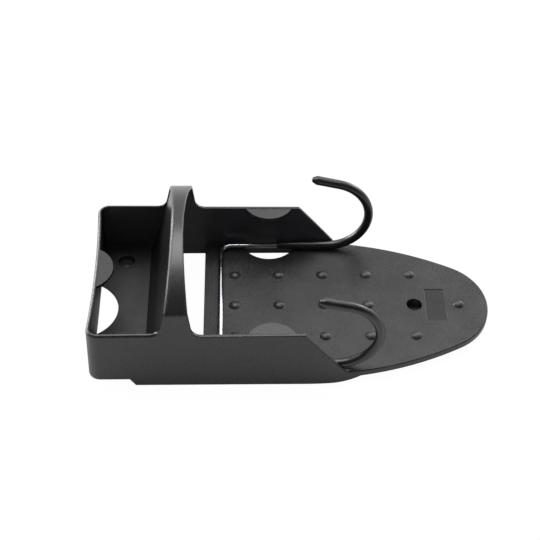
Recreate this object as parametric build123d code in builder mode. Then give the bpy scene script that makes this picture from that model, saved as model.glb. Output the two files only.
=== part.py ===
"""Ironing board holder: a wall-mounted moulding that stores an iron, with a sleeved wire hook frame.

It lies on its back. X runs from the tray end to the tip, Y across the width, Z away from the wall.
The wall plane is Z = 0. The body is symmetrical about Y = 0, and X = 0 is the middle of its length.
"""

import os
from math import cos, radians, sin, sqrt

from build123d import *

# Back plate, shaped like the sole of an iron
length = 309.0
half_width = 72.0
tip_radius = 46.5
flank_radius = 250.0
wall = 2.6
plate_top = 10.4
plate_thickness = 2.6
raised_edge = 5.3          # underside of the tray and of the tip, above the wall plane

# Tray at the blunt end
tray_floor = 7.1
tray_edge_radius = 2.0
corner_radius = 9.0
skirt_start_x = -118.8     # the deep skirt reaches the wall plane between these two
skirt_end_x = 27.3
skirt_rise_run = 23.4      # length of the curve in which it rises towards the tip
skirt_step_run = 3.5

# Side walls: they lean inward and are lower beyond the hood
rim_tray = 53.4
rim_step = 1.7             # the rims beyond the hood are lower by this much
tray_lean = 0.7            # how far each side wall leans inward between the wall plane and its rim
plate_lean = 2.2
base_bow = 0.3             # how far the end wall bends inward, at the wall plane and at its rim
rim_bow = 3.0
rim_end_lean = 0.6
tray_rim_radius = 2.2      # rounding of the outer rims, on the tray and on the plate side of the hood
plate_rim_radius = 0.8
inner_rim_radius = 0.6
slant_top_x = 7.2
slant_run = 32.0
slant_top_radius = 2.0
slant_foot_radius = 8.0

# Arched hood over the slot, closed on the tray side by a leaning divider
hood_peak = 100.3
roof_radius = 107.0
divider_foot_x = -113.8
divider_shoulder_x = -95.4
divider_peak_x = -90.4
hood_mouth_foot_x = -75.1
hood_mouth_shoulder_x = -77.85
hood_mouth_peak_x = -82.3
divider_setback = 0.8
hood_fillet = 8.0
hood_fillet_share = 0.39   # the most that it may be, over the height from the rim to the shoulder
shoulder_radius = 3.0
slot_right_x = -68.8

# Half-round retaining tabs at the rims, with the tooling holes under them
tab_thickness = 2.4
tab_drop = 0.4
side_tab_x = -16.9
side_tab_radius = 19.7
side_tab_reach = 11.2
side_hole_radius = 22.4
side_hole_reach = 17.5
end_tab_radius = 22.9
end_tab_reach = 11.4
end_hole_radius = 30.6
end_hole_reach = 15.3

# Domed nubs on the plate
nub_pitch_x = 35.0
nub_pitch_y = 33.0
nub_columns = 5
first_nub_x = -44.7
nub_diameter = 9.0
nub_height = 2.4
tip_nub_x = 131.4

# Screw holes with counterbores
seat_height = 2.5
boss_wall = 2.0
screw_hole_diameter = 5.6
tip_screw_x = 96.7
tip_bore_diameter = 12.3
tray_screw_x = -133.0
tray_screw_y = 53.6
tray_bore_diameter = 13.4

# Bare recess near the tip
patch_x = 113.4
patch_length = 15.6
patch_width = 33.4
patch_depth = 0.4

# Hook frame of round wire, and the sleeves over its arms
wire_diameter = 4.0
sleeve_thickness = 1.55
sleeve_fit = 0.05
wire_to_wall = 2.0
cross_bar_x = -55.8
wire_bend_radius = 8.0
hook_radius = 32.6
hook_centre_x = 30.2
hook_end_angle = 76.0      # where the curl ends, about its centre; a straight tail follows
hook_tail = 19.2
hook_lean = 1.9            # how far each hook leans outward, in degrees
sleeve_start_x = -10.3
sleeve_cap = 3.0
sleeve_tip_taper = 3.6
sleeve_tip_radius = 1.7
sleeve_tip_rounding = 0.8

# Places that follow from the sizes above
tip_x = length / 2
end_x = -length / 2
above_peak = hood_peak + wall
loft_height = above_peak + wall
roof_centre = hood_peak - roof_radius
rim_plate = rim_tray - rim_step
rim_half_tray = half_width - tray_lean
rim_half_plate = half_width - plate_lean
sleeve_diameter = wire_diameter + 2 * (sleeve_fit + sleeve_thickness)
arm_height = plate_top + sleeve_diameter / 2


def shoulder_height():
    """Height at which the round roof of the hood meets the leaning side walls."""
    lean = (tray_lean + plate_lean) / 2 / rim_tray
    middle = half_width * lean + roof_centre
    square = half_width ** 2 + roof_centre ** 2 - roof_radius ** 2
    return (middle + sqrt(middle ** 2 - (1 + lean ** 2) * square)) / (1 + lean ** 2)


shoulder = shoulder_height()
foot_radius = min(hood_fillet, hood_fillet_share * (shoulder - rim_tray))


def at_loft_top(base, rim):
    """Carries a size on from the wall plane through the rim to the top of the loft."""
    return base + (rim - base) * loft_height / rim_tray


def sole_outline(plane, tray_half, plate_half, end, bow, inset):
    """Sketch of the sole shape: bowed end, sides, flanks and round tip, inset by a wall."""
    side = plate_half - inset
    big = flank_radius - inset
    small = tip_radius - inset
    tip_centre = tip_x - tip_radius
    flank_x = tip_centre - sqrt((big - small) ** 2 - (big - side) ** 2)
    join_x = tip_centre + small * (tip_centre - flank_x) / (big - small)
    join_y = small * (big - side) / (big - small)
    end_side = tray_half - inset
    left = end + inset
    with BuildSketch(plane) as outline:
        with BuildLine():
            ThreePointArc((left, -end_side), (left + bow, 0), (left, end_side))
            Line((left, end_side), (flank_x, side))
            TangentArc((flank_x, side), (join_x, join_y), tangent=(1, 0))
            ThreePointArc((join_x, join_y), (tip_x - inset, 0), (join_x, -join_y))
            TangentArc((flank_x, -side), (join_x, -join_y), tangent=(1, 0))
            Line((flank_x, -side), (left, -end_side))
        make_face()
        fillet(outline.vertices().group_by(Axis.X)[0], corner_radius - inset)
    return outline.sketch


def tub_block(inset):
    """Solid from the sole outline at the wall plane up to the one above the rims."""
    at_wall = sole_outline(Plane.XY, half_width, half_width, end_x, base_bow, inset)
    above_rims = sole_outline(
        Plane.XY.offset(loft_height),
        at_loft_top(half_width, rim_half_tray),
        at_loft_top(half_width, rim_half_plate),
        at_loft_top(end_x, end_x + rim_end_lean),
        at_loft_top(base_bow, rim_bow),
        inset,
    )
    with BuildPart() as block:
        loft([at_wall, above_rims], ruled=True)
    return block.part


def round_corner(profile, x, z, radius):
    """Fillets the profile's corner nearest to a point."""
    fillet(profile.vertices().sort_by_distance((x, z))[0], radius)


def divider_face(shift):
    """Curved line of the leaning divider seen from the side, from the tray floor to the peak."""
    return ThreePointArc(
        (divider_foot_x + shift, tray_floor),
        (divider_shoulder_x + shift, shoulder),
        (divider_peak_x + shift, above_peak),
    )


# The block that the moulding is cut from, and the block of air inside its walls
tub = tub_block(0)
tub_inside = tub_block(wall)
hood_middle_x = (divider_shoulder_x + hood_mouth_shoulder_x) / 2
slant_foot_x = slant_top_x + slant_run
floor_x = divider_foot_x + wall

# Air under the hood's roof
with BuildPart() as roof_inside:
    with BuildSketch(Plane.YZ):
        with Locations((0, roof_centre)):
            Circle(roof_radius - wall)
    extrude(amount=length, both=True)

# Inside of the tray, left of the divider, which stands back a little from the hood's edge
with BuildPart() as tray_pocket:
    add(tub_inside)
    with BuildSketch(Plane.XZ):
        with BuildLine():
            divider_face(divider_setback)
            Polyline(
                (divider_peak_x + divider_setback, above_peak),
                (end_x, above_peak),
                (end_x, tray_floor),
                (divider_foot_x + divider_setback, tray_floor),
            )
        make_face()
    extrude(amount=length, both=True, mode=Mode.INTERSECT)
    add(roof_inside.part, mode=Mode.INTERSECT)

# Inside of the hood with the slot below it, and the room above the plate
with BuildPart() as plate_pocket:
    add(tub_inside)
    with BuildSketch(Plane.XZ):
        with BuildLine():
            divider_face(wall)
            Polyline(
                (divider_peak_x + wall, above_peak),
                (tip_x, above_peak),
                (tip_x, plate_top),
                (slot_right_x, plate_top),
                (slot_right_x, -wall),
                (floor_x, -wall),
                (floor_x, tray_floor),
            )
        make_face()
    extrude(amount=length, both=True, mode=Mode.INTERSECT)
    add(roof_inside.part, mode=Mode.INTERSECT)

# Hollow under the plate, inside its skirt
with BuildPart() as underside:
    add(tub_inside)
    with BuildSketch(Plane.XZ):
        with Locations((slot_right_x + wall, plate_top - plate_thickness)):
            Rectangle(length, 2 * plate_top, align=(Align.MIN, Align.MAX))
    extrude(amount=length, both=True, mode=Mode.INTERSECT)

# Tooling holes through the floor under the tabs
inner_half = half_width - wall
with BuildPart() as tooling_holes:
    with BuildSketch():
        for side in (-1, 1):
            with Locations((side_tab_x, side * (inner_half - side_hole_reach + side_hole_radius))):
                Circle(side_hole_radius)
        with Locations((end_x + base_bow + wall + end_hole_reach - end_hole_radius, 0)):
            Circle(end_hole_radius)
    extrude(amount=plate_top + wall, both=True)
    add(tub_inside, mode=Mode.INTERSECT)

# Retaining tabs: half-round plates at the rims of both side walls and the end wall
rim_inner_half = rim_half_plate - wall
rim_inner_end = end_x + rim_end_lean + rim_bow + wall
with BuildPart() as tabs:
    with BuildSketch(Plane.XY.offset(rim_plate - tab_drop)):
        for side in (-1, 1):
            with Locations((side_tab_x, side * (rim_inner_half - side_tab_reach + side_tab_radius))):
                Circle(side_tab_radius)
    extrude(amount=-tab_thickness)
    with BuildSketch(Plane.XY.offset(rim_tray - tab_drop)):
        with Locations((rim_inner_end + end_tab_reach - end_tab_radius, 0)):
            Circle(end_tab_radius)
    extrude(amount=-tab_thickness)
    add(tub_block(wall / 2), mode=Mode.INTERSECT)

# The moulding itself
with BuildPart() as holder_body:
    add(tub)
    with BuildSketch(Plane.XZ) as side_view:
        with BuildLine():
            TangentArc((skirt_end_x, 0), (skirt_end_x + skirt_rise_run, raised_edge), tangent=(1, 0))
            Polyline(
                (skirt_end_x + skirt_rise_run, raised_edge),
                (tip_x + wall, raised_edge),
                (tip_x + wall, plate_top),
                (slant_foot_x, plate_top),
                (slant_top_x, rim_plate),
                (hood_middle_x, rim_plate),
                (hood_middle_x, rim_tray),
                (end_x - wall, rim_tray),
                (end_x - wall, raised_edge),
                (skirt_start_x - skirt_step_run, raised_edge),
                (skirt_start_x, 0),
                (skirt_end_x, 0),
            )
        make_face()
        with BuildLine():
            divider_face(0)
            Polyline(
                (divider_peak_x, above_peak),
                (divider_peak_x, loft_height),
                (hood_mouth_peak_x, loft_height),
                (hood_mouth_peak_x, above_peak),
            )
            ThreePointArc(
                (hood_mouth_peak_x, above_peak),
                (hood_mouth_shoulder_x, shoulder),
                (hood_mouth_foot_x, rim_plate),
            )
            Line((hood_mouth_foot_x, rim_plate), (divider_foot_x, tray_floor))
        make_face()
        round_corner(side_view, divider_shoulder_x - wall, rim_tray, foot_radius)
        round_corner(side_view, hood_mouth_foot_x, rim_plate, foot_radius)
        round_corner(side_view, slant_top_x, rim_plate, slant_top_radius)
        round_corner(side_view, slant_foot_x, plate_top, slant_foot_radius)
    extrude(amount=length, both=True, mode=Mode.INTERSECT)
    with BuildSketch(Plane.YZ):
        with Locations((0, roof_centre)):
            Circle(roof_radius)
    extrude(amount=length, both=True, mode=Mode.INTERSECT)
    for side in (-1, 1):
        creases = holder_body.edges().sort_by_distance((hood_middle_x, side * rim_half_plate, shoulder))
        fillet(creases[0], shoulder_radius)
    roof_edges = holder_body.edges().filter_by_position(Axis.Z, hood_peak - 1, hood_peak + 1)
    fillet(roof_edges.sort_by(Axis.X)[0], tray_rim_radius)
    roof_edges = holder_body.edges().filter_by_position(Axis.Z, hood_peak - 1, hood_peak + 1)
    fillet(roof_edges.sort_by(Axis.X)[-1], plate_rim_radius)
    low_edges = holder_body.edges().filter_by_position(Axis.Z, raised_edge - 0.1, raised_edge + 0.1)
    tray_end = skirt_start_x - skirt_step_run - 1
    fillet(low_edges.filter_by_position(Axis.X, end_x, tray_end), tray_edge_radius)

    add(tray_pocket.part, mode=Mode.SUBTRACT)
    add(plate_pocket.part, mode=Mode.SUBTRACT)

    # Domed nubs in three rows; the screw hole takes the last place of the middle row
    dome_radius = (nub_diameter ** 2 / 4 + nub_height ** 2) / (2 * nub_height)
    nub_places = [(tip_nub_x, 0)]
    for column in range(nub_columns):
        for row in (-1, 0, 1):
            if row != 0 or column < nub_columns - 1:
                nub_places.append((first_nub_x + column * nub_pitch_x, row * nub_pitch_y))
    with Locations(*[(x, y, plate_top + nub_height - dome_radius) for x, y in nub_places]):
        Sphere(dome_radius)

    add(underside.part, mode=Mode.SUBTRACT)
    add(tooling_holes.part, mode=Mode.SUBTRACT)
    mouth_edges = holder_body.edges().filter_by_position(Axis.Z, hood_peak - wall - 1, hood_peak - wall + 1)
    fillet(mouth_edges.sort_by(Axis.X)[-1], inner_rim_radius)
    add(tabs.part)

    # Screw bosses down to the wall plane, then their counterbored holes
    with BuildSketch():
        with Locations((tip_screw_x, 0)):
            Circle(tip_bore_diameter / 2 + boss_wall)
    extrude(amount=plate_top - plate_thickness / 2)
    with BuildSketch():
        with Locations((tray_screw_x, -tray_screw_y), (tray_screw_x, tray_screw_y)):
            Circle(tray_bore_diameter / 2 + boss_wall)
    extrude(amount=(tray_floor + raised_edge) / 2)
    with Locations((tip_screw_x, 0, plate_top)):
        CounterBoreHole(screw_hole_diameter / 2, tip_bore_diameter / 2, plate_top - seat_height)
    with Locations((tray_screw_x, -tray_screw_y, tray_floor), (tray_screw_x, tray_screw_y, tray_floor)):
        CounterBoreHole(screw_hole_diameter / 2, tray_bore_diameter / 2, tray_floor - seat_height)

    # Bare recess near the tip
    with BuildSketch(Plane.XY.offset(plate_top)):
        with Locations((patch_x, 0)):
            Rectangle(patch_length, patch_width)
    extrude(amount=-patch_depth, mode=Mode.SUBTRACT)

holder_body.part.label = "holder_body"

# Hook frame: cross bar on the plate, arms along the walls, then hooks that curl back
arm_y = inner_half - wire_to_wall - sleeve_diameter / 2


def above_arm(side, x, rise):
    """Point in the leaning plane of a hook, at a rise from its arm."""
    outward = rise * sin(radians(hook_lean))
    return (x, side * (arm_y + outward), arm_height + rise * cos(radians(hook_lean)))


def on_hook(side, angle, tail=0):
    """Point of a hook's centreline at an angle about its centre, 0 toward the tip, or on a tail from there."""
    x = hook_centre_x + hook_radius * cos(radians(angle)) - tail * sin(radians(angle))
    rise = hook_radius * (1 + sin(radians(angle))) + tail * cos(radians(angle))
    return above_arm(side, x, rise)


def on_tail(side, distance):
    """Point of a hook's straight tail, at a distance from the end of the curl."""
    return on_hook(side, hook_end_angle, distance)


def hook_line(side, tail):
    """Hook's centreline from the arm up, over and back, with a tail of some length."""
    ThreePointArc(on_hook(side, -90), on_hook(side, 0), on_hook(side, hook_end_angle))
    Line(on_hook(side, hook_end_angle), on_tail(side, tail))


with BuildPart() as hook_wire:
    with BuildLine() as wire_route:
        FilletPolyline(
            on_hook(-1, -90),
            (cross_bar_x, -arm_y, arm_height),
            (cross_bar_x, arm_y, arm_height),
            on_hook(1, -90),
            radius=wire_bend_radius,
        )
        hook_line(-1, hook_tail)
        hook_line(1, hook_tail)
    tail_direction = Vector(*on_tail(-1, 0)) - Vector(*on_tail(-1, 1))
    with BuildSketch(Plane(origin=on_tail(-1, hook_tail), z_dir=tail_direction)):
        Circle(wire_diameter / 2)
    sweep(path=wire_route.wires()[0])

hook_wire.part.label = "hook_wire"


def sleeve(side):
    """Closed sleeve over one arm and its hook, with a tapered tip."""
    section = Plane(origin=(sleeve_start_x, side * arm_y, arm_height), z_dir=(1, 0, 0))
    with BuildPart() as made:
        for radius, tail, mode in (
            (sleeve_diameter / 2, hook_tail + sleeve_cap, Mode.ADD),
            (wire_diameter / 2 + sleeve_fit, hook_tail + sleeve_fit, Mode.SUBTRACT),
        ):
            with BuildLine() as route:
                Line((sleeve_start_x, side * arm_y, arm_height), on_hook(side, -90))
                hook_line(side, tail)
            with BuildSketch(section):
                Circle(radius)
            sweep(path=route.wires()[0], mode=mode)
            if mode is Mode.ADD:
                tip_face = made.faces().sort_by_distance(on_tail(side, tail))[0]
                narrowing = sleeve_diameter / 2 - sleeve_tip_radius
                chamfer(tip_face.edges(), narrowing, sleeve_tip_taper, reference=tip_face)
                tip_face = made.faces().sort_by_distance(on_tail(side, tail))[0]
                fillet(tip_face.edges(), sleeve_tip_rounding)
    return made.part


near_sleeve = sleeve(-1)
near_sleeve.label = "near_sleeve"
far_sleeve = sleeve(1)
far_sleeve.label = "far_sleeve"

os.makedirs("parts", exist_ok=True)
export_step(holder_body.part, "parts/holder_body.step")
export_step(hook_wire.part, "parts/hook_wire.step")
export_step(near_sleeve, "parts/near_sleeve.step")
export_step(far_sleeve, "parts/far_sleeve.step")
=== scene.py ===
"""Finishes of an ironing board holder: a grained black moulding, a plated hook wire and vinyl sleeves."""

from math import pi, radians

import bpy
from bpy.props import FloatProperty, FloatVectorProperty, PointerProperty
from bpy.types import Operator, Panel, PropertyGroup
from mathutils import Matrix, Vector

bl_info = {
    "name": "Ironing Board Holder",
    "version": (1, 0, 0),
    "blender": (4, 5, 0),
    "location": "View3D > Sidebar > Holder",
    "description": "Finishes the moulding, the hook wire and its sleeves, and sets up a pale studio",
    "category": "Object",
}

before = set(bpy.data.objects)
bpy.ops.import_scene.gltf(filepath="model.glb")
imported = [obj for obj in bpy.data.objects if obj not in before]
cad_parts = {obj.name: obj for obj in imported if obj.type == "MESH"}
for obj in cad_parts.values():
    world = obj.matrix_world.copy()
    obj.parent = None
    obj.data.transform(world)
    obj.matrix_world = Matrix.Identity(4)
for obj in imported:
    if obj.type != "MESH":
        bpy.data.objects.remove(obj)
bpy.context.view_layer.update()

# A noise texture's values lie mostly between these two
noise_low = 0.3
noise_high = 0.7


def linear(hex_colour):
    """Linear red, green and blue of an sRGB hex colour."""
    parts = [int(hex_colour[i:i + 2], 16) / 255 for i in (0, 2, 4)]
    return [c / 12.92 if c <= 0.04045 else ((c + 0.055) / 1.055) ** 2.4 for c in parts]


def per_size(millimetres):
    """Texture scale that makes one feature of a pattern this many millimetres wide."""
    return 1000 / millimetres


def add_node(tree, kind, inputs=None, **settings):
    """Adds a node: each input is a value or the output socket that feeds it, each setting a property."""
    node = tree.nodes.new(kind)
    for name, value in settings.items():
        setattr(node, name, value)
    for name, value in (inputs or {}).items():
        if isinstance(value, bpy.types.NodeSocket):
            tree.links.new(value, node.inputs[name])
        else:
            node.inputs[name].default_value = value
    return node


def new_material(name):
    """Empty node material, and its tree."""
    material = bpy.data.materials.new(name)
    material.use_nodes = True
    material.node_tree.nodes.clear()
    return material, material.node_tree


def dress(node_name, material):
    """Gives a CAD node its finish."""
    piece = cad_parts[node_name]
    piece.data.materials.clear()
    piece.data.materials.append(material)


class HOLDER_PG_body(PropertyGroup):
    """Finish of the moulded body"""

    colour: FloatVectorProperty(
        name="Colour", description="Colour of the plastic", subtype="COLOR", default=linear("161618"),
        min=0, max=1
    )
    roughness: FloatProperty(
        name="Roughness", description="How dull the grained outer walls are", subtype="FACTOR", default=0.33,
        min=0, max=1
    )
    floor_roughness: FloatProperty(
        name="Floor roughness", description="How dull the coarser floors of the plate and the tray are",
        subtype="FACTOR", default=0.4, min=0, max=1
    )
    inner_roughness: FloatProperty(
        name="Inner roughness", description="How dull the smoother inner faces of the side walls are",
        subtype="FACTOR", default=0.3, min=0, max=1
    )
    hood_roughness: FloatProperty(
        name="Hood roughness", description="How dull the arched hood and its divider are", subtype="FACTOR",
        default=0.29, min=0, max=1
    )
    nub_roughness: FloatProperty(
        name="Nub roughness", description="How dull the domes of the nubs are", subtype="FACTOR",
        default=0.46, min=0, max=1
    )
    grain_size: FloatProperty(
        name="Grain size", description="Width of one grain", default=0.001, min=0.0001, unit="LENGTH"
    )
    grain_depth: FloatProperty(
        name="Grain depth", description="Height of the grain", default=0.00017, min=0, unit="LENGTH"
    )
    mottle_size: FloatProperty(
        name="Mottle size", description="Width of the faint lighter and darker areas", default=0.018,
        min=0.0001, unit="LENGTH"
    )
    edge_radius: FloatProperty(
        name="Edge radius", description="Rounding seen on sharp edges", default=0.0008, min=0, unit="LENGTH"
    )
    hood_edge_radius: FloatProperty(
        name="Hood edge radius", description="Rounding seen on the hood's edge towards the tray",
        default=0.0036, min=0, unit="LENGTH"
    )
    shoulder_radius: FloatProperty(
        name="Shoulder radius", description="Rounding seen where the hood's roof meets its sides",
        default=0.0045, min=0, unit="LENGTH"
    )


class HOLDER_PG_wire(PropertyGroup):
    """Finish of the hook wire"""

    colour: FloatVectorProperty(
        name="Colour", description="Colour of the plating", subtype="COLOR", default=linear("bcbcc0"),
        min=0, max=1
    )
    roughness: FloatProperty(
        name="Roughness", description="How dull the plating is", subtype="FACTOR", default=0.17, min=0, max=1
    )


class HOLDER_PG_sleeve(PropertyGroup):
    """Finish of the sleeves"""

    colour: FloatVectorProperty(
        name="Colour", description="Colour of the vinyl", subtype="COLOR", default=linear("0b0b0c"),
        min=0, max=1
    )
    roughness: FloatProperty(
        name="Roughness", description="How dull the vinyl is", subtype="FACTOR", default=0.33, min=0, max=1
    )


class HOLDER_PG_stage(PropertyGroup):
    """Floor, light and camera"""

    floor_colour: FloatVectorProperty(
        name="Floor", description="Colour of the floor", subtype="COLOR", default=linear("f4f4f4"),
        min=0, max=1
    )
    whiteness: FloatProperty(
        name="Floor whiteness", description="How far the floor shows as pure white instead of as lit paper",
        subtype="FACTOR", default=0.97, min=0, max=1
    )
    daylight: FloatProperty(
        name="Surround", description="Strength of the light from all around", default=0.55, min=0
    )
    front_light: FloatProperty(
        name="Front light", description="Strength of the dull light from the camera's side", default=1.05,
        min=0
    )
    dark_side: FloatProperty(
        name="Dark side", description="Brightness in gloss of the room behind the camera", default=0.05,
        min=0
    )
    top_lamp: FloatProperty(
        name="Top lamp", description="Power of the lamp above", default=14.3, min=0, unit="POWER"
    )
    back_lamp: FloatProperty(
        name="Back lamp", description="Power of the wide lamp behind", default=2.0, min=0, unit="POWER"
    )
    left_lamp: FloatProperty(
        name="Left lamp", description="Power of the long low lamp at the left", default=24, min=0,
        unit="POWER"
    )
    right_lamp: FloatProperty(
        name="Right lamp", description="Power of the small low lamp at the right", default=6, min=0,
        unit="POWER"
    )
    aim: FloatVectorProperty(
        name="Aim", description="Point that the camera looks at", subtype="TRANSLATION", unit="LENGTH",
        default=(-0.0161, 0.0482, 0.0013)
    )
    distance: FloatProperty(
        name="Distance", description="From the camera to that point", default=1.0864, min=0.1, unit="LENGTH"
    )
    elevation: FloatProperty(
        name="Elevation", description="Angle of the view above the horizon", default=radians(45.12),
        unit="ROTATION"
    )
    turn: FloatProperty(
        name="Turn", description="Turn of the camera about the vertical", default=radians(-1.46),
        unit="ROTATION"
    )
    roll: FloatProperty(
        name="Roll", description="Roll of the camera about its own line of sight", default=radians(0.74),
        unit="ROTATION"
    )
    lens: FloatProperty(
        name="Lens", description="Focal length on a sensor 36 mm wide", default=88.66, min=10, unit="CAMERA"
    )


class HOLDER_OT_body(Operator):
    """Finish the moulded body"""

    bl_idname = "holder.body"
    bl_label = "Moulded body"

    # Share of the broad mottle in the tone, beside the fine grain
    mottle_share = 0.35
    # Cosine of the turn that the rounding gives a face where its grain is worn off, and where it is whole
    worn_turn = 0.8
    grained_turn = 0.98
    # What the grain adds to the roughness or takes from it, and what the wear takes from it
    grain_contrast = 0.12
    wear_polish = 0.14
    # Heights above the wall plane, in metres, that part the floors, the nubs, the walls and the hood
    floor_top = 0.0106
    nub_top = 0.0132
    hood_foot = 0.055
    # Least part of a face's normal that points up on a level face, and out on a side or end wall
    level_part = 0.5
    wall_part = 0.7
    # Point in the tray that the inner faces of the side walls look towards, and the least that they do so
    tray_middle = (-0.13, 0, 0)
    least_inward = 0.005
    # Centre and half sizes of the boxes, in metres, that hold a region
    recess_box = ((0.1134, 0, 0.01), (0.0078, 0.0167, 0.0003))
    divider_box = ((-0.103, 0, 0.052), (0.0125, 0.0685, 0.045))
    hood_edge_box = ((-0.0945, 0, 0.079), (0.0065, 0.08, 0.0245))
    shoulders_box = ((-0.0865, 0, 0.0725), (0.0135, 0.08, 0.009))

    def execute(self, context):
        look = context.scene.holder_body
        # Black polypropylene, injection moulded in a spark-eroded tool: dull, with a fine even grain
        # and edges that shine a little where the grain stops
        material, tree = new_material("black_polypropylene_grained")
        place = add_node(tree, "ShaderNodeTexCoord").outputs["Object"]
        normal = add_node(tree, "ShaderNodeNewGeometry").outputs["Normal"]
        # The real grain is about 0.2 mm wide, too fine to show here, so it is drawn as coarse as the
        # setting says
        grain = add_node(
            tree, "ShaderNodeTexNoise",
            {"Vector": place, "Scale": per_size(look.grain_size * 1000), "Detail": 2.0},
        ).outputs["Fac"]
        mottle = add_node(
            tree, "ShaderNodeTexNoise",
            {"Vector": place, "Scale": per_size(look.mottle_size * 1000), "Detail": 3.0},
        ).outputs["Fac"]
        tone = add_node(tree, "ShaderNodeMix", {"Factor": self.mottle_share, 2: grain, 3: mottle}).outputs[0]
        # The pits of the floors' coarser grain swallow some of the shine
        pitted = add_node(
            tree, "ShaderNodeMapRange",
            {"Value": tone, "From Min": 0.35, "From Max": 0.65, "To Min": 0.37, "To Max": 0.7},
        ).outputs["Result"]

        # What each region changes, in this order: a later region covers an earlier one. The floors are the
        # coarsest; the hood, the nubs, the tabs and the inner faces are smoother than the outer walls; the
        # recess near the tip is a little darker than the plate. The inner faces of the side walls are
        # painted twice as light, as painted light in the shade between the walls, and the divider is painted
        # half as light with its shine lowered, as painted shade
        regions = self.find_regions(tree, place, normal)
        layers = {
            "dullness": (
                look.roughness, ("hood", look.hood_roughness), ("inner", look.inner_roughness),
                ("nubs", look.nub_roughness), ("floors", look.floor_roughness),
            ),
            "coarseness": (1.0, ("inner", 0.1), ("hood", 0.18), ("nubs", 0.12), ("tabs", 0.6)),
            # On the divider, the lowered shine and the darker colour are painted shade; on the inner faces,
            # the paler colour is painted light in their shade
            "shine": (1.0, ("floors", pitted), ("recess", 0.32), ("tabs", 0.89), ("divider", 0.4)),
            "painted_light_and_shade": (1.0, ("inner", 2.0), ("divider", 0.5)),
            "rounding": (
                look.edge_radius, ("hood_edge", look.hood_edge_radius), ("shoulders", look.shoulder_radius),
            ),
        }
        traits = {}
        for trait, (value, *changes) in layers.items():
            for region, changed in changes:
                value = add_node(
                    tree, "ShaderNodeMix", {"Factor": regions[region], 2: value, 3: changed}
                ).outputs[0]
            traits[trait] = value

        # The grain is worn off along the rounded edges, which are smoother for it
        edges = add_node(
            tree, "ShaderNodeBevel", {"Radius": traits["rounding"]}, samples=6
        ).outputs["Normal"]
        turned = add_node(
            tree, "ShaderNodeVectorMath", {0: edges, 1: normal}, operation="DOT_PRODUCT"
        ).outputs["Value"]
        unworn = add_node(
            tree, "ShaderNodeMapRange",
            {"Value": turned, "From Min": self.worn_turn, "From Max": self.grained_turn},
        ).outputs["Result"]
        coarseness = add_node(
            tree, "ShaderNodeMath", {0: traits["coarseness"], 1: unworn}, operation="MULTIPLY"
        ).outputs[0]
        polish = add_node(
            tree, "ShaderNodeMapRange", {"Value": unworn, "To Min": -self.wear_polish, "To Max": 0.0}
        ).outputs["Result"]
        dullness = add_node(
            tree, "ShaderNodeMath", {0: traits["dullness"], 1: polish}, operation="ADD"
        ).outputs[0]
        uneven = add_node(
            tree, "ShaderNodeMapRange",
            {"Value": grain, "From Min": noise_low, "From Max": noise_high,
             "To Min": -self.grain_contrast, "To Max": self.grain_contrast},
        ).outputs["Result"]
        dullness = add_node(
            tree, "ShaderNodeMath", {0: uneven, 1: coarseness, 2: dullness}, operation="MULTIPLY_ADD"
        ).outputs[0]
        relief = add_node(
            tree, "ShaderNodeBump",
            {"Height": grain, "Distance": look.grain_depth, "Strength": coarseness, "Normal": edges},
        ).outputs["Normal"]

        shades = add_node(tree, "ShaderNodeValToRGB", {"Fac": tone})
        stops = ((noise_low, 0.6), (noise_high, 1.5))
        for element, (position, strength) in zip(shades.color_ramp.elements, stops):
            element.position = position
            element.color = [channel * strength for channel in look.colour] + [1]
        # Painted light and shade: the colour is made twice as light on the inner faces of the side walls, as
        # painted light in their shade, and half as light on the divider, as painted shade
        colour = add_node(
            tree, "ShaderNodeVectorMath", {0: shades.outputs["Color"], "Scale": traits["painted_light_and_shade"]},
            operation="SCALE",
        ).outputs["Vector"]
        shine = traits["shine"]
        tint = add_node(
            tree, "ShaderNodeCombineColor", {"Red": shine, "Green": shine, "Blue": shine}
        ).outputs["Color"]
        surface = add_node(
            tree, "ShaderNodeBsdfPrincipled",
            {"Base Color": colour, "Roughness": dullness, "IOR": 1.49, "Normal": relief,
             "Specular Tint": tint},
        ).outputs["BSDF"]
        add_node(tree, "ShaderNodeOutputMaterial", {"Surface": surface})
        dress("holder_body", material)
        return {"FINISHED"}

    def find_regions(self, tree, place, normal):
        """Sockets that are 1 on one region of the moulding and 0 elsewhere, by the region's name."""
        height = add_node(tree, "ShaderNodeSeparateXYZ", {"Vector": place}).outputs["Z"]
        lengthwise, across, upward = add_node(tree, "ShaderNodeSeparateXYZ", {"Vector": normal}).outputs

        # Level faces at three heights: the floors of the plate and the tray, the nubs, and the rims with
        # their tabs
        level = add_node(
            tree, "ShaderNodeMath", {0: upward, 1: self.level_part}, operation="GREATER_THAN"
        ).outputs[0]
        low = add_node(
            tree, "ShaderNodeMath", {0: height, 1: self.floor_top}, operation="LESS_THAN"
        ).outputs[0]
        up_to_nubs = add_node(
            tree, "ShaderNodeMath", {0: height, 1: self.nub_top}, operation="LESS_THAN"
        ).outputs[0]
        floors = add_node(tree, "ShaderNodeMath", {0: low, 1: level}, operation="MULTIPLY").outputs[0]
        nubs = add_node(tree, "ShaderNodeMath", {0: up_to_nubs, 1: low}, operation="SUBTRACT").outputs[0]
        nubs = add_node(tree, "ShaderNodeMath", {0: nubs, 1: level}, operation="MULTIPLY").outputs[0]

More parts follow.
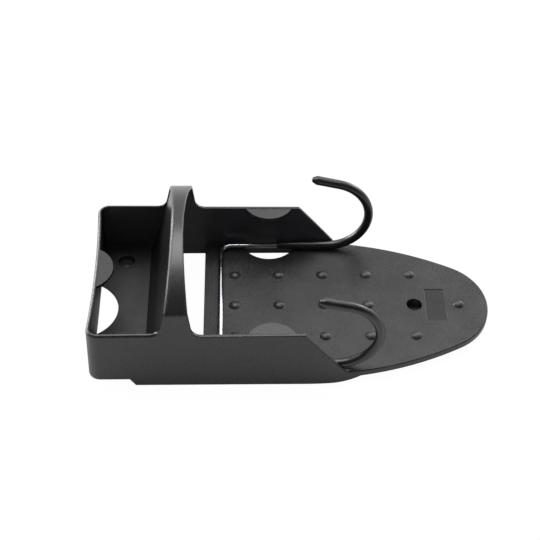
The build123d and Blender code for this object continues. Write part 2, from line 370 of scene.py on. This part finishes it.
        # The hood with its divider, which ends the tray
        to_end = add_node(
            tree, "ShaderNodeMath", {0: lengthwise, 1: -self.wall_part}, operation="LESS_THAN"
        ).outputs[0]
        divider = self.inside(tree, place, *self.divider_box)
        divider = add_node(tree, "ShaderNodeMath", {0: divider, 1: to_end}, operation="MULTIPLY").outputs[0]
        high = add_node(
            tree, "ShaderNodeMath", {0: height, 1: self.hood_foot}, operation="GREATER_THAN"
        ).outputs[0]
        hood = add_node(tree, "ShaderNodeMath", {0: high, 1: divider}, operation="MAXIMUM").outputs[0]
        tabs = add_node(tree, "ShaderNodeMath", {0: 1.0, 1: hood}, operation="SUBTRACT").outputs[0]
        tabs = add_node(tree, "ShaderNodeMath", {0: tabs, 1: up_to_nubs}, operation="SUBTRACT").outputs[0]
        tabs = add_node(tree, "ShaderNodeMath", {0: tabs, 1: level}, operation="MULTIPLY").outputs[0]

        # The inner faces of the side walls come off the polished core of the tool, and are smoother; they
        # are also painted lighter, as painted light in the shade between the walls
        from_tray = add_node(
            tree, "ShaderNodeVectorMath", {0: place, 1: self.tray_middle}, operation="SUBTRACT"
        ).outputs["Vector"]
        sideways = add_node(
            tree, "ShaderNodeVectorMath", {0: normal, 1: (1, 1, 0)}, operation="MULTIPLY"
        ).outputs["Vector"]
        outward = add_node(
            tree, "ShaderNodeVectorMath", {0: from_tray, 1: sideways}, operation="DOT_PRODUCT"
        ).outputs["Value"]
        facing_in = add_node(
            tree, "ShaderNodeMath", {0: outward, 1: -self.least_inward}, operation="LESS_THAN"
        ).outputs[0]
        across = add_node(tree, "ShaderNodeMath", {0: across}, operation="ABSOLUTE").outputs[0]
        on_side = add_node(
            tree, "ShaderNodeMath", {0: across, 1: self.wall_part}, operation="GREATER_THAN"
        ).outputs[0]
        inner = add_node(tree, "ShaderNodeMath", {0: facing_in, 1: on_side}, operation="MULTIPLY").outputs[0]

        return {
            "floors": floors,
            "nubs": nubs,
            "tabs": tabs,
            "hood": hood,
            "divider": divider,
            "inner": inner,
            "recess": self.inside(tree, place, *self.recess_box),
            "hood_edge": self.inside(tree, place, *self.hood_edge_box),
            "shoulders": self.inside(tree, place, *self.shoulders_box),
        }

    @staticmethod
    def inside(tree, place, centre, half_sizes):
        """Socket that is 1 inside a box and 0 outside it."""
        away = add_node(
            tree, "ShaderNodeVectorMath", {0: place, 1: centre}, operation="SUBTRACT"
        ).outputs["Vector"]
        away = add_node(tree, "ShaderNodeVectorMath", {0: away}, operation="ABSOLUTE").outputs["Vector"]
        offsets = add_node(tree, "ShaderNodeSeparateXYZ", {"Vector": away}).outputs
        found = 1.0
        for axis, half in zip("XYZ", half_sizes):
            near = add_node(
                tree, "ShaderNodeMath", {0: offsets[axis], 1: half}, operation="LESS_THAN"
            ).outputs[0]
            found = add_node(tree, "ShaderNodeMath", {0: found, 1: near}, operation="MULTIPLY").outputs[0]
        return found


class HOLDER_OT_wire(Operator):
    """Finish the hook wire"""

    bl_idname = "holder.wire"
    bl_label = "Hook wire"

    haze_size = 3           # millimetres
    haze_height = 0.00001   # metres

    def execute(self, context):
        look = context.scene.holder_wire
        # Chrome plate on drawn steel wire: bright, with a faint haze from drawing that blurs it a little
        material, tree = new_material("chrome_plated_steel_wire")
        place = add_node(tree, "ShaderNodeTexCoord").outputs["Object"]
        haze = add_node(
            tree, "ShaderNodeTexNoise", {"Vector": place, "Scale": per_size(self.haze_size), "Detail": 4.0}
        ).outputs["Fac"]
        dullness = add_node(
            tree, "ShaderNodeMapRange",
            {"Value": haze, "From Min": noise_low, "From Max": noise_high,
             "To Min": look.roughness * 0.7, "To Max": look.roughness * 1.4},
        ).outputs["Result"]
        relief = add_node(
            tree, "ShaderNodeBump", {"Height": haze, "Distance": self.haze_height, "Strength": 1.0}
        ).outputs["Normal"]
        surface = add_node(
            tree, "ShaderNodeBsdfPrincipled",
            {"Base Color": [*look.colour, 1], "Metallic": 1.0, "Roughness": dullness, "Normal": relief},
        ).outputs["BSDF"]
        add_node(tree, "ShaderNodeOutputMaterial", {"Surface": surface})
        dress("hook_wire", material)
        return {"FINISHED"}


class HOLDER_OT_sleeves(Operator):
    """Finish the sleeves over the hooks"""

    bl_idname = "holder.sleeves"
    bl_label = "Sleeves"

    wave_size = 5           # millimetres
    wave_height = 0.00003   # metres

    def execute(self, context):
        look = context.scene.holder_sleeve
        # Soft black vinyl, dip moulded: a soft shine, with the slight waves that dipping leaves
        material, tree = new_material("black_vinyl_dip_moulded")
        place = add_node(tree, "ShaderNodeTexCoord").outputs["Object"]
        waves = add_node(
            tree, "ShaderNodeTexNoise", {"Vector": place, "Scale": per_size(self.wave_size), "Detail": 2.0}
        ).outputs["Fac"]
        dullness = add_node(
            tree, "ShaderNodeMapRange",
            {"Value": waves, "From Min": noise_low, "From Max": noise_high,
             "To Min": look.roughness - 0.04, "To Max": look.roughness + 0.06},
        ).outputs["Result"]
        relief = add_node(
            tree, "ShaderNodeBump", {"Height": waves, "Distance": self.wave_height, "Strength": 1.0}
        ).outputs["Normal"]
        surface = add_node(
            tree, "ShaderNodeBsdfPrincipled",
            {"Base Color": [*look.colour, 1], "Roughness": dullness, "IOR": 1.53, "Normal": relief},
        ).outputs["BSDF"]
        add_node(tree, "ShaderNodeOutputMaterial", {"Surface": surface})
        dress("near_sleeve", material)
        dress("far_sleeve", material)
        return {"FINISHED"}


class HOLDER_OT_stage(Operator):
    """Set up the floor, the light and the camera"""

    bl_idname = "holder.stage"
    bl_label = "Stage"

    floor_half = 3.0
    floor_drop = 0.0001
    screw_holes = ((0.0967, 0, 0), (-0.133, -0.0536, 0), (-0.133, 0.0536, 0))
    # The floor is dark this far from the middle of a screw hole, and white again beyond its rim
    hole_dark = 0.0036
    hole_rim = 0.0044
    hole_brightness = 0.03
    # How far from the object its shadow reaches in gloss, between which shares of open air, and how dark
    shadow_reach = 0.12
    closed_in = 0.4
    open_air = 0.82
    shadow_brightness = 0.1
    # The surroundings change between these angles, measured up from the floor behind the object
    overhead = radians(90)
    towards_camera = radians(112)
    # Place and size of each lamp, in metres
    lamps = {
        "top_lamp": ((-0.05, 0.38, 1.14), (1.1, 0.66)),
        "back_lamp": ((0.32, 1.0, 0.9), (0.9, 0.6)),
        "left_lamp": ((-1.05, 0.55, 0.38), (1.1, 0.45)),
        "right_lamp": ((0.84, 0.9, 0.42), (0.5, 0.5)),
    }

    def execute(self, context):
        scene = context.scene
        stage = scene.holder_stage
        scene.view_settings.view_transform = "Standard"
        self.make_floor(scene, stage)
        self.make_surroundings(scene, stage)
        self.make_lamps(scene, stage)
        self.make_camera(scene, stage)
        return {"FINISHED"}

    def make_floor(self, scene, stage):
        """Pale floor that shows as white and keeps the object's shadow."""
        half = self.floor_half
        mesh = bpy.data.meshes.new("floor")
        mesh.from_pydata(
            [(-half, -half, 0), (half, -half, 0), (half, half, 0), (-half, half, 0)], [], [(0, 1, 2, 3)]
        )
        floor = bpy.data.objects.new("floor", mesh)
        floor.location.z = -self.floor_drop
        scene.collection.objects.link(floor)
        # Matt white background paper: without shine or grain, so that only a faint shadow shows on it
        material, tree = new_material("white_paper_matt")
        paper = add_node(
            tree, "ShaderNodeBsdfDiffuse", {"Color": [*stage.floor_colour, 1]}
        ).outputs["BSDF"]
        place = add_node(tree, "ShaderNodeTexCoord").outputs["Object"]
        # White, but dark at the bottom of the screw holes, where no light reaches
        white = 1.0
        for centre in self.screw_holes:
            away = add_node(
                tree, "ShaderNodeVectorMath", {0: place, 1: centre}, operation="DISTANCE"
            ).outputs["Value"]
            lit = add_node(
                tree, "ShaderNodeMapRange",
                {"Value": away, "From Min": self.hole_dark, "From Max": self.hole_rim,
                 "To Min": self.hole_brightness, "To Max": 1.0},
            ).outputs["Result"]
            white = add_node(tree, "ShaderNodeMath", {0: white, 1: lit}, operation="MULTIPLY").outputs[0]
        # In gloss, the floor also dims under and close beside the object, as its shadow does
        openness = add_node(
            tree, "ShaderNodeAmbientOcclusion", {"Distance": self.shadow_reach}, samples=6
        ).outputs["AO"]
        in_gloss = add_node(
            tree, "ShaderNodeMapRange",
            {"Value": openness, "From Min": self.closed_in, "From Max": self.open_air,
             "To Min": self.shadow_brightness, "To Max": 1.0},
        ).outputs["Result"]
        path = add_node(tree, "ShaderNodeLightPath").outputs
        brightness = add_node(
            tree, "ShaderNodeMix", {"Factor": path["Is Glossy Ray"], 2: white, 3: in_gloss}
        ).outputs[0]
        glow = add_node(
            tree, "ShaderNodeEmission", {"Color": [1, 1, 1, 1], "Strength": brightness}
        ).outputs["Emission"]
        # The glow is for what the camera sees itself or in gloss or glass, and lights nothing
        sharp = add_node(
            tree, "ShaderNodeMath", {0: path["Is Glossy Ray"], 1: path["Is Transmission Ray"]},
            operation="MAXIMUM",
        ).outputs[0]
        seen = add_node(
            tree, "ShaderNodeMath", {0: path["Is Camera Ray"], 1: sharp}, operation="MAXIMUM"
        ).outputs[0]
        share = add_node(tree, "ShaderNodeMix", {"Factor": seen, 2: 0.0, 3: stage.whiteness}).outputs[0]
        surface = add_node(tree, "ShaderNodeMixShader", {"Fac": share, 1: paper, 2: glow}).outputs["Shader"]
        add_node(tree, "ShaderNodeOutputMaterial", {"Surface": surface})
        floor.data.materials.append(material)

    def make_surroundings(self, scene, stage):
        """Surroundings that show as white and light the object softly."""
        world = bpy.data.worlds.new("studio")
        world.use_nodes = True
        world.node_tree.nodes.clear()
        tree = world.node_tree
        around = add_node(tree, "ShaderNodeTexCoord").outputs["Generated"]
        direction = add_node(tree, "ShaderNodeSeparateXYZ", {"Vector": around}).outputs
        angle = add_node(
            tree, "ShaderNodeMath", {0: direction["Z"], 1: direction["Y"]}, operation="ARCTAN2"
        ).outputs[0]
        turning = {"Value": angle, "From Min": self.overhead, "From Max": self.towards_camera}
        # The camera's side, where a studio has no lamp, is dark in gloss but still lights dull surfaces
        reflected = add_node(
            tree, "ShaderNodeMapRange", {**turning, "To Min": 1.0, "To Max": stage.dark_side}
        ).outputs["Result"]
        falling = add_node(
            tree, "ShaderNodeMapRange", {**turning, "To Min": stage.daylight, "To Max": stage.front_light}
        ).outputs["Result"]
        path = add_node(tree, "ShaderNodeLightPath").outputs
        unseen = add_node(
            tree, "ShaderNodeMix", {"Factor": path["Is Glossy Ray"], 2: falling, 3: reflected}
        ).outputs[0]
        seen = add_node(
            tree, "ShaderNodeMath", {0: path["Is Camera Ray"], 1: path["Is Transmission Ray"]},
            operation="MAXIMUM",
        ).outputs[0]
        strength = add_node(tree, "ShaderNodeMix", {"Factor": seen, 2: unseen, 3: 1.0}).outputs[0]
        sky = add_node(
            tree, "ShaderNodeBackground", {"Color": [1, 1, 1, 1], "Strength": strength}
        ).outputs["Background"]
        add_node(tree, "ShaderNodeOutputWorld", {"Surface": sky})
        scene.world = world

    def make_lamps(self, scene, stage):
        """Rectangular soft lamps that face the object."""
        for name, (place, size) in self.lamps.items():
            lamp = bpy.data.lights.new(name, "AREA")
            lamp.shape = "RECTANGLE"
            lamp.size, lamp.size_y = size
            lamp.energy = getattr(stage, name)
            holder = bpy.data.objects.new(name, lamp)
            holder.location = place
            holder.rotation_mode = "QUATERNION"
            holder.rotation_quaternion = Vector(place).to_track_quat("Z", "Y")
            scene.collection.objects.link(holder)

    def make_camera(self, scene, stage):
        """Camera at the photograph's angle."""
        data = bpy.data.cameras.new("camera")
        data.sensor_width = 36
        data.lens = stage.lens
        data.clip_start = 0.05
        data.clip_end = 20
        camera = bpy.data.objects.new("camera", data)
        attitude = (
            Matrix.Rotation(stage.turn, 4, "Z")
            @ Matrix.Rotation(pi / 2 - stage.elevation, 4, "X")
            @ Matrix.Rotation(stage.roll, 4, "Z")
        )
        back = attitude @ Vector((0, 0, stage.distance))
        camera.matrix_world = Matrix.Translation(Vector(stage.aim) + back) @ attitude
        scene.collection.objects.link(camera)
        scene.camera = camera


class HOLDER_PT_panel(Panel):
    """Finishes and stage of the ironing board holder"""

    bl_idname = "HOLDER_PT_panel"
    bl_label = "Ironing Board Holder"
    bl_space_type = "VIEW_3D"
    bl_region_type = "UI"
    bl_category = "Holder"

    def draw(self, context):
        for settings, operator in (
            (context.scene.holder_body, HOLDER_OT_body),
            (context.scene.holder_wire, HOLDER_OT_wire),
            (context.scene.holder_sleeve, HOLDER_OT_sleeves),
            (context.scene.holder_stage, HOLDER_OT_stage),
        ):
            box = self.layout.box()
            for name in settings.bl_rna.properties.keys():
                if name not in ("rna_type", "name"):
                    box.prop(settings, name)
            box.operator(operator.bl_idname)


settings_groups = {
    "holder_body": HOLDER_PG_body,
    "holder_wire": HOLDER_PG_wire,
    "holder_sleeve": HOLDER_PG_sleeve,
    "holder_stage": HOLDER_PG_stage,
}
operators = (HOLDER_OT_body, HOLDER_OT_wire, HOLDER_OT_sleeves, HOLDER_OT_stage)


def register():
    """Registers the settings, the operators and the panel."""
    for name, group in settings_groups.items():
        bpy.utils.register_class(group)
        setattr(bpy.types.Scene, name, PointerProperty(type=group))
    for operator in operators:
        bpy.utils.register_class(operator)
    bpy.utils.register_class(HOLDER_PT_panel)


def unregister():
    """Takes the settings, the operators and the panel away again."""
    bpy.utils.unregister_class(HOLDER_PT_panel)
    for operator in reversed(operators):
        bpy.utils.unregister_class(operator)
    for name, group in settings_groups.items():
        delattr(bpy.types.Scene, name)
        bpy.utils.unregister_class(group)


def main():
    """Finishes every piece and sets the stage."""
    register()
    bpy.ops.holder.body()
    bpy.ops.holder.wire()
    bpy.ops.holder.sleeves()
    bpy.ops.holder.stage()


if __name__ == "__main__":
    main()
